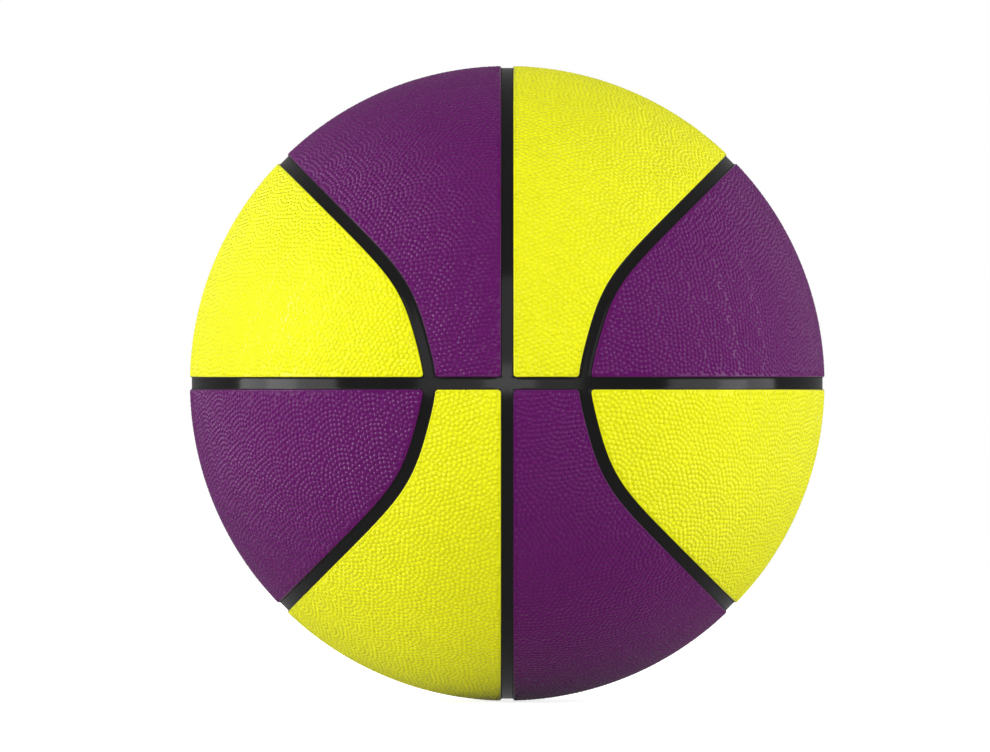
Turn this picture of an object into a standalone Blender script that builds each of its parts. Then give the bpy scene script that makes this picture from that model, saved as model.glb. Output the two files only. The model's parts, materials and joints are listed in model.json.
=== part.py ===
"""A size 7 basketball in eight cover panels, with its channel strips, inner layers and air valve.

Metres, +Z up. The origin is the ball's centre, and the front crossing of the channels faces -Y.
"""

import math

import bmesh
import bpy
from mathutils import Matrix, Vector

# Cover and the channels between its panels
BALL_DIAMETER = 0.242
CHANNEL_WIDTH = 0.0047
CHANNEL_DEPTH = 0.0008
STRIP_THICKNESS = 0.0007
LOOP_HALF_WAIST = 0.0290
PANEL_CORNER_RADIUS = 0.0012
PANEL_EDGE_RADIUS = 0.0005

# Layers under the cover
CARCASS_WALL = 0.0007
WINDING_WALL = 0.0004
BLADDER_WALL = 0.0007

# Clearance between neighbours that touch on the real ball
SEAT_GAP = 0.0003

# Air valve, in the upper right centre panel at the back
VALVE_OFF_UPRIGHT_CHANNEL = 0.0080
VALVE_OFF_LEVEL_CHANNEL = 0.0198
VALVE_RECESS = 0.0007
NEEDLE_HOLE_RADIUS = 0.0009
NEEDLE_HOLE_DEPTH = 0.0100
INSERT_WALL = 0.0012
HEAD_OVERHANG = 0.0010
HEAD_THICKNESS = 0.0013
NOSE_TAPER = 0.0007
NOSE_LENGTH = 0.0032
SLIT_OPENING = 0.0003
NECK_WALL = 0.0014
NECK_EDGE_RADIUS = 0.0004
FLANGE_WIDTH = 0.0058
FLANGE_THICKNESS = 0.0014
BODY_WALL = 0.0038
BODY_LENGTH = 0.0130

# Facets
CENTRE_PANEL_CELLS = (20, 5)
SIDE_PANEL_CELLS = (16, 5)
CURVED_STRIP_CELLS = 28
HALF_STRIP_CELLS = 20
RING_STEPS = 40
SHELL_SUBDIVISIONS = 4
VALVE_STEPS = 16
HOLE_SIDES = 24
CORNER_SEGMENTS = 2
EDGE_SEGMENTS = 1
SEAM_SAMPLES = 600
MERGE_DISTANCE = 0.00001
FLAT_CORNER = math.radians(150)
STEEP_SLOPE = math.radians(45)
SHARP_ANGLE = math.radians(30)

# Share of a side panel's curved edge that counts as its short end
SHOULDER_SHARE = 0.15

# Linear colour and roughness of each finish
YELLOW_PANEL = (0.83, 0.83, 0.02), 0.5
PURPLE_PANEL = (0.12, 0.014, 0.12), 0.5
BLACK_CHANNEL = (0.012, 0.012, 0.012), 0.4
CARCASS_RUBBER = (0.035, 0.033, 0.031), 0.7
NYLON_THREAD = (0.62, 0.60, 0.53), 0.6
BUTYL_RUBBER = (0.02, 0.02, 0.022), 0.45
VALVE_RUBBER = (0.016, 0.016, 0.016), 0.5
INSERT_RUBBER = (0.028, 0.028, 0.028), 0.45

# Worked out from the sizes above
BALL_RADIUS = BALL_DIAMETER / 2
STRIP_RADIUS = BALL_RADIUS - CHANNEL_DEPTH
SEAT_RADIUS = STRIP_RADIUS - STRIP_THICKNESS
MID_PANEL_RADIUS = (BALL_RADIUS + SEAT_RADIUS) / 2
HALF_STRIP_WIDTH = CHANNEL_WIDTH / 2 - SEAT_GAP
CHANNEL_ANGLE = CHANNEL_WIDTH / 2 / BALL_RADIUS
STRIP_ANGLE = HALF_STRIP_WIDTH / BALL_RADIUS
WAIST_ANGLE = math.asin(LOOP_HALF_WAIST / BALL_RADIUS)
STEM_RADIUS = NEEDLE_HOLE_RADIUS + INSERT_WALL
NOSE_RADIUS = STEM_RADIUS - NOSE_TAPER
HEAD_RADIUS = STEM_RADIUS + HEAD_OVERHANG
BORE_RADIUS = STEM_RADIUS + SEAT_GAP
RECESS_RADIUS = HEAD_RADIUS + SEAT_GAP
NECK_RADIUS = RECESS_RADIUS + NECK_WALL
BODY_RADIUS = BORE_RADIUS + BODY_WALL
FLANGE_RADIUS = max(NECK_RADIUS, BODY_RADIUS) + FLANGE_WIDTH
VALVE_HOLE_RADIUS = NECK_RADIUS + SEAT_GAP
VALVE_RIGHT = (CHANNEL_WIDTH / 2 + VALVE_OFF_UPRIGHT_CHANNEL + VALVE_HOLE_RADIUS) / BALL_RADIUS
VALVE_UP = (CHANNEL_WIDTH / 2 + VALVE_OFF_LEVEL_CHANNEL + VALVE_HOLE_RADIUS) / BALL_RADIUS
VALVE_AXIS = Vector((VALVE_RIGHT, math.sqrt(1 - VALVE_RIGHT ** 2 - VALVE_UP ** 2), VALVE_UP))
HALF_TURN_ABOUT = {
    "upper_right": Matrix.Identity(4),
    "upper_left": Matrix.Rotation(math.pi, 4, "Z"),
    "lower_right": Matrix.Rotation(math.pi, 4, "X"),
    "lower_left": Matrix.Rotation(math.pi, 4, "Y"),
}


# Scene and materials

def clear_scene():
    for obj in list(bpy.data.objects):
        bpy.data.objects.remove(obj, do_unlink=True)


def new_collection(name):
    collection = bpy.data.collections.new(name)
    bpy.context.scene.collection.children.link(collection)
    return collection


def finish(name, looks):
    colour, roughness = looks
    material = bpy.data.materials.new(name)
    material.use_nodes = True
    shader = material.node_tree.nodes["Principled BSDF"]
    shader.inputs["Base Color"].default_value = (*colour, 1)
    shader.inputs["Roughness"].default_value = roughness
    shader.inputs["Metallic"].default_value = 0
    return material


def add_piece(name, mesh, collection, material=None, matrix=None):
    piece = bpy.data.objects.new(name, mesh)
    collection.objects.link(piece)
    piece.matrix_world = matrix or Matrix.Identity(4)
    if material:
        piece.data.materials.clear()
        piece.data.materials.append(material)
    return piece


def mesh_of(bm, name):
    mesh = bpy.data.meshes.new(name)
    bm.to_mesh(mesh)
    bm.free()
    mesh.shade_smooth()
    mesh.set_sharp_from_angle(angle=SHARP_ANGLE)
    return mesh


# Seam lines, as points on a sphere of radius 1

def loop_direction(t):
    """Upper right curved seam: the front of the equator at 0, the side of the ball at 1, the back at 2."""
    reach = 2 - t if t > 1 else t
    polar = WAIST_ANGLE + (math.pi / 2 - WAIST_ANGLE) * reach ** 2
    growth = (math.sin(polar) / math.sin(WAIST_ANGLE)) ** 2 - 1
    lift = math.copysign(math.acos(math.exp(-max(growth, 0))) / 2, reach)
    depth = math.cos(polar) if t > 1 else -math.cos(polar)
    return Vector((math.sin(polar) * math.cos(lift), depth, math.sin(polar) * math.sin(lift)))


def loop_edge(offset):
    """Line beside the curved seam, the angle offset away from it towards the upright seam."""
    step = 1 / SEAM_SAMPLES
    line = []
    for k in range(1, 2 * SEAM_SAMPLES):
        middle = loop_direction(k * step)
        along = (loop_direction((k + 0.5) * step) - loop_direction((k - 0.5) * step)).normalized()
        line.append(middle * math.cos(offset) + middle.cross(along) * math.sin(offset))
    return line


def upright_edge(offset):
    """Line beside the upright seam, from the front over the top to the back."""
    radius = math.cos(offset)
    angles = [math.pi * k / SEAM_SAMPLES for k in range(SEAM_SAMPLES + 1)]
    return [Vector((math.sin(offset), -radius * math.cos(a), radius * math.sin(a))) for a in angles]


def level_edge(start, end):
    """Line beside the equator, from start round the side of the ball to end at the same height."""
    first = math.atan2(start.x, -start.y)
    last = math.atan2(end.x, -end.y)
    radius = math.hypot(start.x, start.y)
    angles = [first + (last - first) * k / SEAM_SAMPLES for k in range(SEAM_SAMPLES + 1)]
    return [Vector((radius * math.sin(a), -radius * math.cos(a), start.z)) for a in angles]


def above(line, height):
    """The stretch of a line above a height, cut exactly at both ends."""
    kept = []
    for here, there in zip(line, line[1:]):
        crossing = (here.z - height) * (there.z - height) < 0
        if here.z >= height:
            kept.append(here)
        if crossing:
            kept.append(here.lerp(there, (height - here.z) / (there.z - here.z)))
    return kept


def evenly(line, cells):
    """The line as cells steps that share its bending equally, so that tight stretches get short steps."""
    bends = [(here - before).angle(after - here, 0) for before, here, after in zip(line, line[1:], line[2:])]
    bends = bends[1:2] * 2 + bends[1:-1] + bends[-2:-1] * 2
    turned = [0.0]
    for bend, next_bend in zip(bends, bends[1:]):
        turned.append(turned[-1] + bend + next_bend)
    points = [line[0]]
    k = 0
    for n in range(1, cells):
        wanted = turned[-1] * n / cells
        while turned[k + 1] < wanted:
            k += 1
        points.append(line[k].lerp(line[k + 1], (wanted - turned[k]) / (turned[k + 1] - turned[k])))
    return points + [line[-1]]


def straight(start, end, cells):
    return [start.lerp(end, n / cells) for n in range(cells + 1)]


# Pieces bounded by seam lines

def spread_between(bottom, top, left, right, u, v):
    """Point of the surface that four boundary lines span, at the cell corner u, v."""
    across = u / (len(bottom) - 1)
    up = v / (len(left) - 1)
    ruled = bottom[u].lerp(top[u], up) + left[v].lerp(right[v], across)
    return (ruled - bottom[0].lerp(bottom[-1], across).lerp(top[0].lerp(top[-1], across), up)).normalized()


def split_flat_corners(bm):
    """Cuts each quad that has a nearly straight corner, from that corner to the one across it."""
    for face in bm.faces[:]:
        widest = max(face.loops, key=lambda loop: loop.calc_angle())
        if widest.calc_angle() > FLAT_CORNER:
            bmesh.utils.face_split(face, widest.vert, widest.link_loop_next.link_loop_next.vert)


def bent_sheet(bottom, top, left, right, inner, outer):
    """A grid spread between four seam lines, wrapped on the ball and thickened outwards."""
    columns = len(bottom) - 1
    rows = len(left) - 1
    bm = bmesh.new()
    bmesh.ops.create_grid(bm, x_segments=columns, y_segments=rows, size=1)
    for vert in bm.verts:
        u = round((vert.co.x + 1) / 2 * columns)
        v = round((vert.co.y + 1) / 2 * rows)
        vert.co = spread_between(bottom, top, left, right, u, v) * inner
    split_flat_corners(bm)
    made = bmesh.ops.extrude_face_region(bm, geom=bm.faces[:], use_keep_orig=True)["geom"]
    for vert in (item for item in made if isinstance(item, bmesh.types.BMVert)):
        vert.co *= outer / inner
    bmesh.ops.recalc_face_normals(bm, faces=bm.faces)
    return bm


def is_wall(face):
    return abs(face.normal.dot(face.calc_center_median().normalized())) < math.cos(STEEP_SLOPE)


def round_off(bm, corners):
    """Rounds the upright corners of a panel and then the rim of its outer face."""
    reach = CHANNEL_WIDTH / 2
    uprights = [
        edge for edge in bm.edges
        if all(is_wall(face) for face in edge.link_faces)
        and any((edge.verts[0].co.normalized() - corner).length * BALL_RADIUS < reach for corner in corners)
    ]
    bmesh.ops.bevel(
        bm, geom=uprights, offset=PANEL_CORNER_RADIUS, segments=CORNER_SEGMENTS, affect="EDGES", profile=0.5
    )
    rim = [
        edge for edge in bm.edges
        if len({is_wall(face) for face in edge.link_faces}) == 2
        and all(vert.co.length > MID_PANEL_RADIUS for vert in edge.verts)
    ]
    bmesh.ops.bevel(
        bm, geom=rim, offset=PANEL_EDGE_RADIUS, segments=EDGE_SEGMENTS, affect="EDGES", profile=0.5
    )
    return bm


def centre_panel():
    columns, rows = CENTRE_PANEL_CELLS
    upright = evenly(above(upright_edge(CHANNEL_ANGLE), CHANNEL_ANGLE), columns)
    curved = evenly(above(loop_edge(CHANNEL_ANGLE), CHANNEL_ANGLE), columns)
    front = straight(upright[0], curved[0], rows)
    back = straight(upright[-1], curved[-1], rows)
    sheet = bent_sheet(upright, curved, front, back, SEAT_RADIUS, BALL_RADIUS)
    return round_off(sheet, [upright[0], curved[0], upright[-1], curved[-1]])


def side_panel():
    columns, rows = SIDE_PANEL_CELLS
    curved = above(loop_edge(-CHANNEL_ANGLE), CHANNEL_ANGLE)
    turn = round(SHOULDER_SHARE * len(curved))
    level = evenly(level_edge(curved[0], curved[-1]), columns)
    front = evenly(curved[: turn + 1], rows)
    long_side = evenly(curved[turn:-turn], columns)
    back = evenly(curved[: -turn - 2 : -1], rows)
    sheet = bent_sheet(level, long_side, front, back, SEAT_RADIUS, BALL_RADIUS)
    return round_off(sheet, [level[0], level[-1]])


def strip_between(one_side, other_side, cells):
    bottom = evenly(above(one_side, CHANNEL_ANGLE), cells)
    top = evenly(above(other_side, CHANNEL_ANGLE), cells)
    front = [bottom[0], top[0]]
    back = [bottom[-1], top[-1]]
    return bent_sheet(bottom, top, front, back, SEAT_RADIUS, STRIP_RADIUS)


# Turned and hollow pieces

def profile_mesh(name, points, closed):
    """A profile of (radius, height) points, ready to be turned about Z."""
    bm = bmesh.new()
    verts = [bm.verts.new((radius, 0, height)) for radius, height in points]
    for here, there in zip(verts, verts[1:] + verts[:1] * closed):
        bm.edges.new((here, there))
    mesh = bpy.data.meshes.new(name)
    bm.to_mesh(mesh)
    bm.free()
    return mesh


def turn_about_z(piece, steps):
    screw = piece.modifiers.new("turned", "SCREW")
    screw.axis = "Z"
    screw.steps = steps
    screw.render_steps = steps
    screw.use_merge_vertices = True
    screw.merge_threshold = MERGE_DISTANCE
    screw.use_smooth_shade = True


def cut(piece, cutter):
    boolean = piece.modifiers.new("cut_" + cutter.name, "BOOLEAN")
    boolean.operation = "DIFFERENCE"
    boolean.solver = "EXACT"
    boolean.object = cutter


def least_radius(mesh, inside):
    """How near to the ball's centre the facets come whose corners all lie inside a radius."""
    mesh.calc_loop_triangles()
    facets = [
        (mesh.vertices[triangle.vertices[0]].co, triangle.normal)
        for triangle in mesh.loop_triangles
        if all(mesh.vertices[corner].co.length < inside for corner in triangle.vertices)
    ]
    return min(abs(corner.dot(normal)) for corner, normal in facets)


def hollow_ball(name, outer, wall, collection, material, cutter):
    bm = bmesh.new()
    bmesh.ops.create_icosphere(bm, subdivisions=SHELL_SUBDIVISIONS, radius=outer)
    piece = add_piece(name, mesh_of(bm, name), collection, material)
    shell = piece.modifiers.new("wall", "SOLIDIFY")
    shell.thickness = wall
    shell.offset = -1
    cut(piece, cutter)
    return piece


def helper(name, mesh, collection, matrix=None):
    cutter = add_piece(name, mesh, collection, matrix=matrix)
    cutter.hide_render = True
    cutter.display_type = "WIRE"
    return cutter


# Cover and channels

clear_scene()
ball = new_collection("basketball")
cutters = new_collection("cutters")

yellow = finish("yellow_panel_rubber", YELLOW_PANEL)
purple = finish("purple_panel_rubber", PURPLE_PANEL)
black = finish("black_channel_rubber", BLACK_CHANNEL)

centre_mesh = mesh_of(centre_panel(), "centre_panel")
side_mesh = mesh_of(side_panel(), "side_panel")
curved_strip = strip_between(loop_edge(-STRIP_ANGLE), loop_edge(STRIP_ANGLE), CURVED_STRIP_CELLS)
curved_strip_mesh = mesh_of(curved_strip, "curved_channel_strip")
half_strip = strip_between(upright_edge(STRIP_ANGLE), upright_edge(-STRIP_ANGLE), HALF_STRIP_CELLS)
half_strip_mesh = mesh_of(half_strip, "half_channel_strip")

centre_panels = {}
for place, turn in HALF_TURN_ABOUT.items():
    on_rising_diagonal = place in ("upper_right", "lower_left")
    centre_colour, side_colour = (yellow, purple) if on_rising_diagonal else (purple, yellow)
    centre_panels[place] = add_piece("centre_panel_" + place, centre_mesh.copy(), ball, centre_colour, turn)
    add_piece("side_panel_" + place, side_mesh.copy(), ball, side_colour, turn)
    add_piece("curved_channel_strip_" + place, curved_strip_mesh.copy(), ball, black, turn)
add_piece("upper_channel_strip", half_strip_mesh.copy(), ball, black)
add_piece("lower_channel_strip", half_strip_mesh.copy(), ball, black, HALF_TURN_ABOUT["lower_right"])

ring_profile = [
    (STRIP_RADIUS, HALF_STRIP_WIDTH),
    (STRIP_RADIUS, -HALF_STRIP_WIDTH),
    (SEAT_RADIUS, -HALF_STRIP_WIDTH),
    (SEAT_RADIUS, HALF_STRIP_WIDTH),
]
ring_mesh = profile_mesh("level_channel_strip", ring_profile, True)
level_strip = add_piece("level_channel_strip", ring_mesh, ball, black)
turn_about_z(level_strip, RING_STEPS)

# Inner layers, each a hollow ball seated in the one outside it

valve_frame = VALVE_AXIS.to_track_quat("Z", "Y").to_matrix().to_4x4()
hole_radius = VALVE_HOLE_RADIUS / math.cos(math.pi / HOLE_SIDES)
bm = bmesh.new()
bmesh.ops.create_cone(
    bm, cap_ends=True, segments=HOLE_SIDES, radius1=hole_radius, radius2=hole_radius, depth=BALL_RADIUS,
    matrix=Matrix.Translation((0, 0, BALL_RADIUS)),
)
valve_hole = helper("valve_hole", mesh_of(bm, "valve_hole"), cutters, valve_frame)
cut(centre_panels["upper_right"], valve_hole)

carcass_radius = min(least_radius(mesh, MID_PANEL_RADIUS) for mesh in (centre_mesh, side_mesh)) - SEAT_GAP
winding_radius = carcass_radius - CARCASS_WALL - SEAT_GAP
bladder_radius = winding_radius - WINDING_WALL - SEAT_GAP
carcass_rubber = finish("carcass_rubber", CARCASS_RUBBER)
nylon_thread = finish("nylon_thread", NYLON_THREAD)
butyl = finish("butyl_rubber", BUTYL_RUBBER)
hollow_ball("carcass", carcass_radius, CARCASS_WALL, ball, carcass_rubber, valve_hole)
hollow_ball("thread_winding", winding_radius, WINDING_WALL, ball, nylon_thread, valve_hole)
bladder = hollow_ball("bladder", bladder_radius, BLADDER_WALL, ball, butyl, valve_hole)

# Air valve, turned about an axis through the ball's centre

flatness = least_radius(bladder.data, BALL_RADIUS) / bladder_radius
under_bladder = (bladder_radius - BLADDER_WALL) * flatness - SEAT_GAP
valve_top = BALL_RADIUS - VALVE_RECESS
flange_inside = math.sqrt(under_bladder ** 2 - NECK_RADIUS ** 2)
flange_outside = math.sqrt(under_bladder ** 2 - FLANGE_RADIUS ** 2)
body_top = flange_outside - FLANGE_THICKNESS
body_bottom = body_top - BODY_LENGTH
seat_height = valve_top - HEAD_THICKNESS - SEAT_GAP

housing_profile = [
    (RECESS_RADIUS, valve_top),
    (NECK_RADIUS - NECK_EDGE_RADIUS, valve_top),
    (NECK_RADIUS, valve_top - NECK_EDGE_RADIUS),
    (NECK_RADIUS, flange_inside),
    (FLANGE_RADIUS, flange_outside),
    (FLANGE_RADIUS, body_top),
    (BODY_RADIUS, body_top),
    (BODY_RADIUS, body_bottom),
    (BORE_RADIUS, body_bottom),
    (BORE_RADIUS, seat_height),
    (RECESS_RADIUS, seat_height),
]
insert_profile = [
    (0, valve_top - NEEDLE_HOLE_DEPTH),
    (NEEDLE_HOLE_RADIUS, valve_top - NEEDLE_HOLE_DEPTH),
    (NEEDLE_HOLE_RADIUS, valve_top),
    (HEAD_RADIUS, valve_top),
    (HEAD_RADIUS, seat_height + SEAT_GAP),
    (STEM_RADIUS, seat_height + SEAT_GAP),
    (STEM_RADIUS, body_bottom),
    (NOSE_RADIUS, body_bottom - NOSE_LENGTH),
    (0, body_bottom - NOSE_LENGTH),
]
valve_rubber = finish("valve_rubber", VALVE_RUBBER)
insert_rubber = finish("insert_rubber", INSERT_RUBBER)
housing = add_piece(
    "valve_housing", profile_mesh("valve_housing", housing_profile, True), ball, valve_rubber, valve_frame
)
turn_about_z(housing, VALVE_STEPS)
insert = add_piece(
    "valve_insert", profile_mesh("valve_insert", insert_profile, False), ball, insert_rubber, valve_frame
)
turn_about_z(insert, VALVE_STEPS)

# The slit that a needle parts, from the foot of the needle hole out through the nose
slit_top = valve_top - NEEDLE_HOLE_DEPTH + NEEDLE_HOLE_RADIUS
slit_bottom = body_bottom - 2 * NOSE_LENGTH
slit_size = Matrix.Diagonal((2 * NEEDLE_HOLE_RADIUS, SLIT_OPENING, slit_top - slit_bottom, 1))
bm = bmesh.new()
bmesh.ops.create_cube(bm, size=1, matrix=Matrix.Translation((0, 0, (slit_top + slit_bottom) / 2)) @ slit_size)
cut(insert, helper("needle_slit", mesh_of(bm, "needle_slit"), cutters, valve_frame))
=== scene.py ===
import json
import math

import bpy
import numpy as np
from mathutils import Matrix, Vector, geometry, kdtree


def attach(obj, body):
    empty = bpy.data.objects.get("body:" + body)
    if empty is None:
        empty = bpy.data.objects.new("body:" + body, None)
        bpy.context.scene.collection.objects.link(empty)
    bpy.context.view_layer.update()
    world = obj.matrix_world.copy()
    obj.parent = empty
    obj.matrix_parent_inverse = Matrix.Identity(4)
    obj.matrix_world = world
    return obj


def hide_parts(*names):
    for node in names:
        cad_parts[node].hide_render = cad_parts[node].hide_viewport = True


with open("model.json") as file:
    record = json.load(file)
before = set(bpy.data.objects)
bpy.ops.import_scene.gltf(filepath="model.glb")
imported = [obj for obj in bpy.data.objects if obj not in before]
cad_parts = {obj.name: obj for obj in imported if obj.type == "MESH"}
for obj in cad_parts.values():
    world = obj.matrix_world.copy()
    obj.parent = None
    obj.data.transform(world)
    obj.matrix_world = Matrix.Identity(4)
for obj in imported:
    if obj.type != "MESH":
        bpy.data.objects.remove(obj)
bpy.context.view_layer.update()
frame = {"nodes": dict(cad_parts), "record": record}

# Bladder
# The bladder is the airtight balloon at the heart of the ball, moulded from black butyl rubber.
# It is cured in one piece, dusted with talc and later wound over with thread.
BLADDER_BLACK = (0.016, 0.016, 0.017, 1)
CLOUDS_PER_METRE = 45
CLOUD_DETAIL = 4
GRAINS_PER_METRE = 2600
GRAIN_DETAIL = 3
NOISE_MIDDLE = 0.5


def maths(tree, operation, *values):
    """A maths node of these numbers or outputs of other nodes; gives its own output."""
    node = tree.nodes.new("ShaderNodeMath")
    node.operation = operation
    for socket, value in zip(node.inputs, values):
        if isinstance(value, (int, float)):
            socket.default_value = value
        else:
            tree.links.new(value, socket)
    return node.outputs[0]


def noise(tree, place, per_metre, detail):
    """A cloudy noise at a place; gives its output."""
    node = tree.nodes.new("ShaderNodeTexNoise")
    node.inputs["Scale"].default_value = per_metre
    node.inputs["Detail"].default_value = detail
    tree.links.new(place, node.inputs["Vector"])
    return node.outputs["Fac"]


def rubber_skin_group():
    """Cloudy colour, uneven gloss and a fine matt grain, as a rubber moulding has."""
    group = bpy.data.node_groups.new("rubber_skin", "ShaderNodeTree")
    socket = group.interface.new_socket
    socket("Colour", in_out="INPUT", socket_type="NodeSocketColor")
    socket("Cloud", in_out="INPUT", socket_type="NodeSocketFloat")
    socket("Roughness", in_out="INPUT", socket_type="NodeSocketFloat")
    socket("Unevenness", in_out="INPUT", socket_type="NodeSocketFloat")
    socket("Colour", in_out="OUTPUT", socket_type="NodeSocketColor")
    socket("Roughness", in_out="OUTPUT", socket_type="NodeSocketFloat")
    socket("Height", in_out="OUTPUT", socket_type="NodeSocketFloat")
    link = group.links.new
    given = group.nodes.new("NodeGroupInput").outputs
    result = group.nodes.new("NodeGroupOutput").inputs
    place = group.nodes.new("ShaderNodeTexCoord").outputs["Object"]
    clouds = noise(group, place, CLOUDS_PER_METRE, CLOUD_DETAIL)
    centred = maths(group, "SUBTRACT", clouds, NOISE_MIDDLE)
    tinted = group.nodes.new("ShaderNodeVectorMath")
    tinted.operation = "SCALE"
    link(given["Colour"], tinted.inputs[0])
    link(maths(group, "MULTIPLY_ADD", centred, given["Cloud"], 1), tinted.inputs["Scale"])
    link(tinted.outputs[0], result["Colour"])
    gloss = maths(group, "MULTIPLY_ADD", centred, given["Unevenness"], given["Roughness"])
    link(gloss, result["Roughness"])
    link(noise(group, place, GRAINS_PER_METRE, GRAIN_DETAIL), result["Height"])
    return group


rubber_skin = rubber_skin_group()


def rubber(name, colour, roughness, cloud, unevenness, grain_height):
    """A moulded rubber finish: the shared skin, with its own colour, gloss and depth of grain."""
    material = bpy.data.materials.new(name)
    material.use_nodes = True
    nodes = material.node_tree.nodes
    link = material.node_tree.links.new
    surface = nodes["Principled BSDF"]
    skin = nodes.new("ShaderNodeGroup")
    skin.node_tree = rubber_skin
    skin.inputs["Colour"].default_value = colour
    skin.inputs["Cloud"].default_value = cloud
    skin.inputs["Roughness"].default_value = roughness
    skin.inputs["Unevenness"].default_value = unevenness
    link(skin.outputs["Colour"], surface.inputs["Base Color"])
    link(skin.outputs["Roughness"], surface.inputs["Roughness"])
    bump = nodes.new("ShaderNodeBump")
    bump.inputs["Strength"].default_value = 1
    bump.inputs["Distance"].default_value = grain_height
    link(skin.outputs["Height"], bump.inputs["Height"])
    link(bump.outputs["Normal"], surface.inputs["Normal"])
    return material


def dress(node, material):
    """Gives a piece of the frame its finish."""
    slots = frame["nodes"][node].data.materials
    slots.clear()
    slots.append(material)


bladder_finish = rubber(
    "bladder_rubber",
    BLADDER_BLACK,
    roughness=0.55,
    cloud=0.5,
    unevenness=0.25,
    grain_height=0.00002,
)
dress("bladder", bladder_finish)

# Thread winding
# Fine nylon thread, dipped in latex, is wound over the bladder from every side, so that it keeps the
# bladder round under pressure. Its turns cross in all directions.
THREAD_WHITE = (0.62, 0.60, 0.54, 1)
# Painted shade, for thread that lies low between the turns above it.
THREAD_SHADOW = (0.30, 0.28, 0.24, 1)
THREADS_PER_METRE = 900
THREAD_WAVINESS = 1.5
THREAD_RELIEF = 0.0002
THREAD_ROUGHNESS = 0.6
WINDING_TURNS = ((0.0, 0.0), (1.05, 0.3), (0.5, 1.2), (1.9, 0.8))


def wound_thread():
    """Bands of parallel thread in four directions, the ones on top hiding those below; painted shade
    darkens the thread that lies low.
    """
    material = bpy.data.materials.new("wound_nylon_thread")
    material.use_nodes = True
    tree = material.node_tree
    nodes = tree.nodes
    link = tree.links.new
    surface = nodes["Principled BSDF"]
    place = nodes.new("ShaderNodeTexCoord").outputs["Object"]
    height = 0
    for tilt, turn in WINDING_TURNS:
        mapping = nodes.new("ShaderNodeMapping")
        mapping.inputs["Rotation"].default_value = (tilt, turn, 0)
        link(place, mapping.inputs["Vector"])
        bands = nodes.new("ShaderNodeTexWave")
        bands.inputs["Scale"].default_value = THREADS_PER_METRE / math.tau
        bands.inputs["Distortion"].default_value = THREAD_WAVINESS
        link(mapping.outputs["Vector"], bands.inputs["Vector"])
        height = maths(tree, "MAXIMUM", height, bands.outputs["Fac"])
    # Painted shade: the colour goes from the thread's own white to a darker tone where the thread lies
    # low.
    colour = nodes.new("ShaderNodeMix")
    colour.data_type = "RGBA"
    colour.inputs["A"].default_value = THREAD_SHADOW
    colour.inputs["B"].default_value = THREAD_WHITE
    link(height, colour.inputs["Factor"])
    link(colour.outputs["Result"], surface.inputs["Base Color"])
    bump = nodes.new("ShaderNodeBump")
    bump.inputs["Distance"].default_value = THREAD_RELIEF
    link(height, bump.inputs["Height"])
    link(bump.outputs["Normal"], surface.inputs["Normal"])
    surface.inputs["Roughness"].default_value = THREAD_ROUGHNESS
    return material


dress("thread_winding", wound_thread())

# Carcass
# The carcass is a thin coat of black rubber cured over the winding. It gives the ball its round shape,
# and the channel strips and panels are laid on it.
CARCASS_BLACK = (0.012, 0.012, 0.012, 1)
carcass_finish = rubber(
    "carcass_rubber",
    CARCASS_BLACK,
    roughness=0.6,
    cloud=0.5,
    unevenness=0.2,
    grain_height=0.00002,
)
dress("carcass", carcass_finish)

# Valve housing
# A soft black rubber plug is cured into the bladder's wall. Its broad flange lies under the winding,
# its neck comes up through the panel at the back, and a recess in its face seats the insert's head.
mounts = {mount["name"]: mount for mount in frame["record"]["mounts"]}
VALVE_AXIS = Vector(mounts["valve_face"]["axis"])
VALVE_TURN = VALVE_AXIS.to_track_quat("Z", "Y").to_matrix().to_4x4()
BALL_RADIUS = -mounts["rest_spot"]["pos_m"][2]
VALVE_RECESS = 0.0007
VALVE_TOP = BALL_RADIUS - VALVE_RECESS
HEAD_RECESS_RADIUS = 0.0034
NECK_RADIUS = 0.0048
BODY_RADIUS = 0.0062
FLANGE_RADIUS = 0.0120
BORE_RADIUS = 0.0024
NECK_EDGE_RADIUS = 0.0004
HOUSING_ROUNDING = 0.0002
VALVE_BLACK = (0.014, 0.014, 0.014, 1)
TURNED_SIDES = 96
ROUNDING_STEPS = 3
SMOOTH_ANGLE = math.radians(40)
MERGE_DISTANCE = 0.000001
LEVEL_DECIMALS = 4


def levels_along_valve(node):
    """Heights of a node's corners along the valve's axis, from the lowest to the highest."""
    corners = frame["nodes"][node].data.vertices
    heights = {round(corner.co.dot(VALVE_AXIS), LEVEL_DECIMALS) for corner in corners}
    return sorted(heights)


def start_piece(name):
    """Names the primitive that was just added."""
    piece = bpy.context.object
    piece.name = name
    piece.data.name = name
    return piece


def apply_modifier(piece, kind, **settings):
    """Adds a modifier with these settings and applies it."""
    modifier = piece.modifiers.new(kind.lower(), kind)
    for setting, value in settings.items():
        setattr(modifier, setting, value)
    bpy.ops.object.modifier_apply(modifier=modifier.name)


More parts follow.
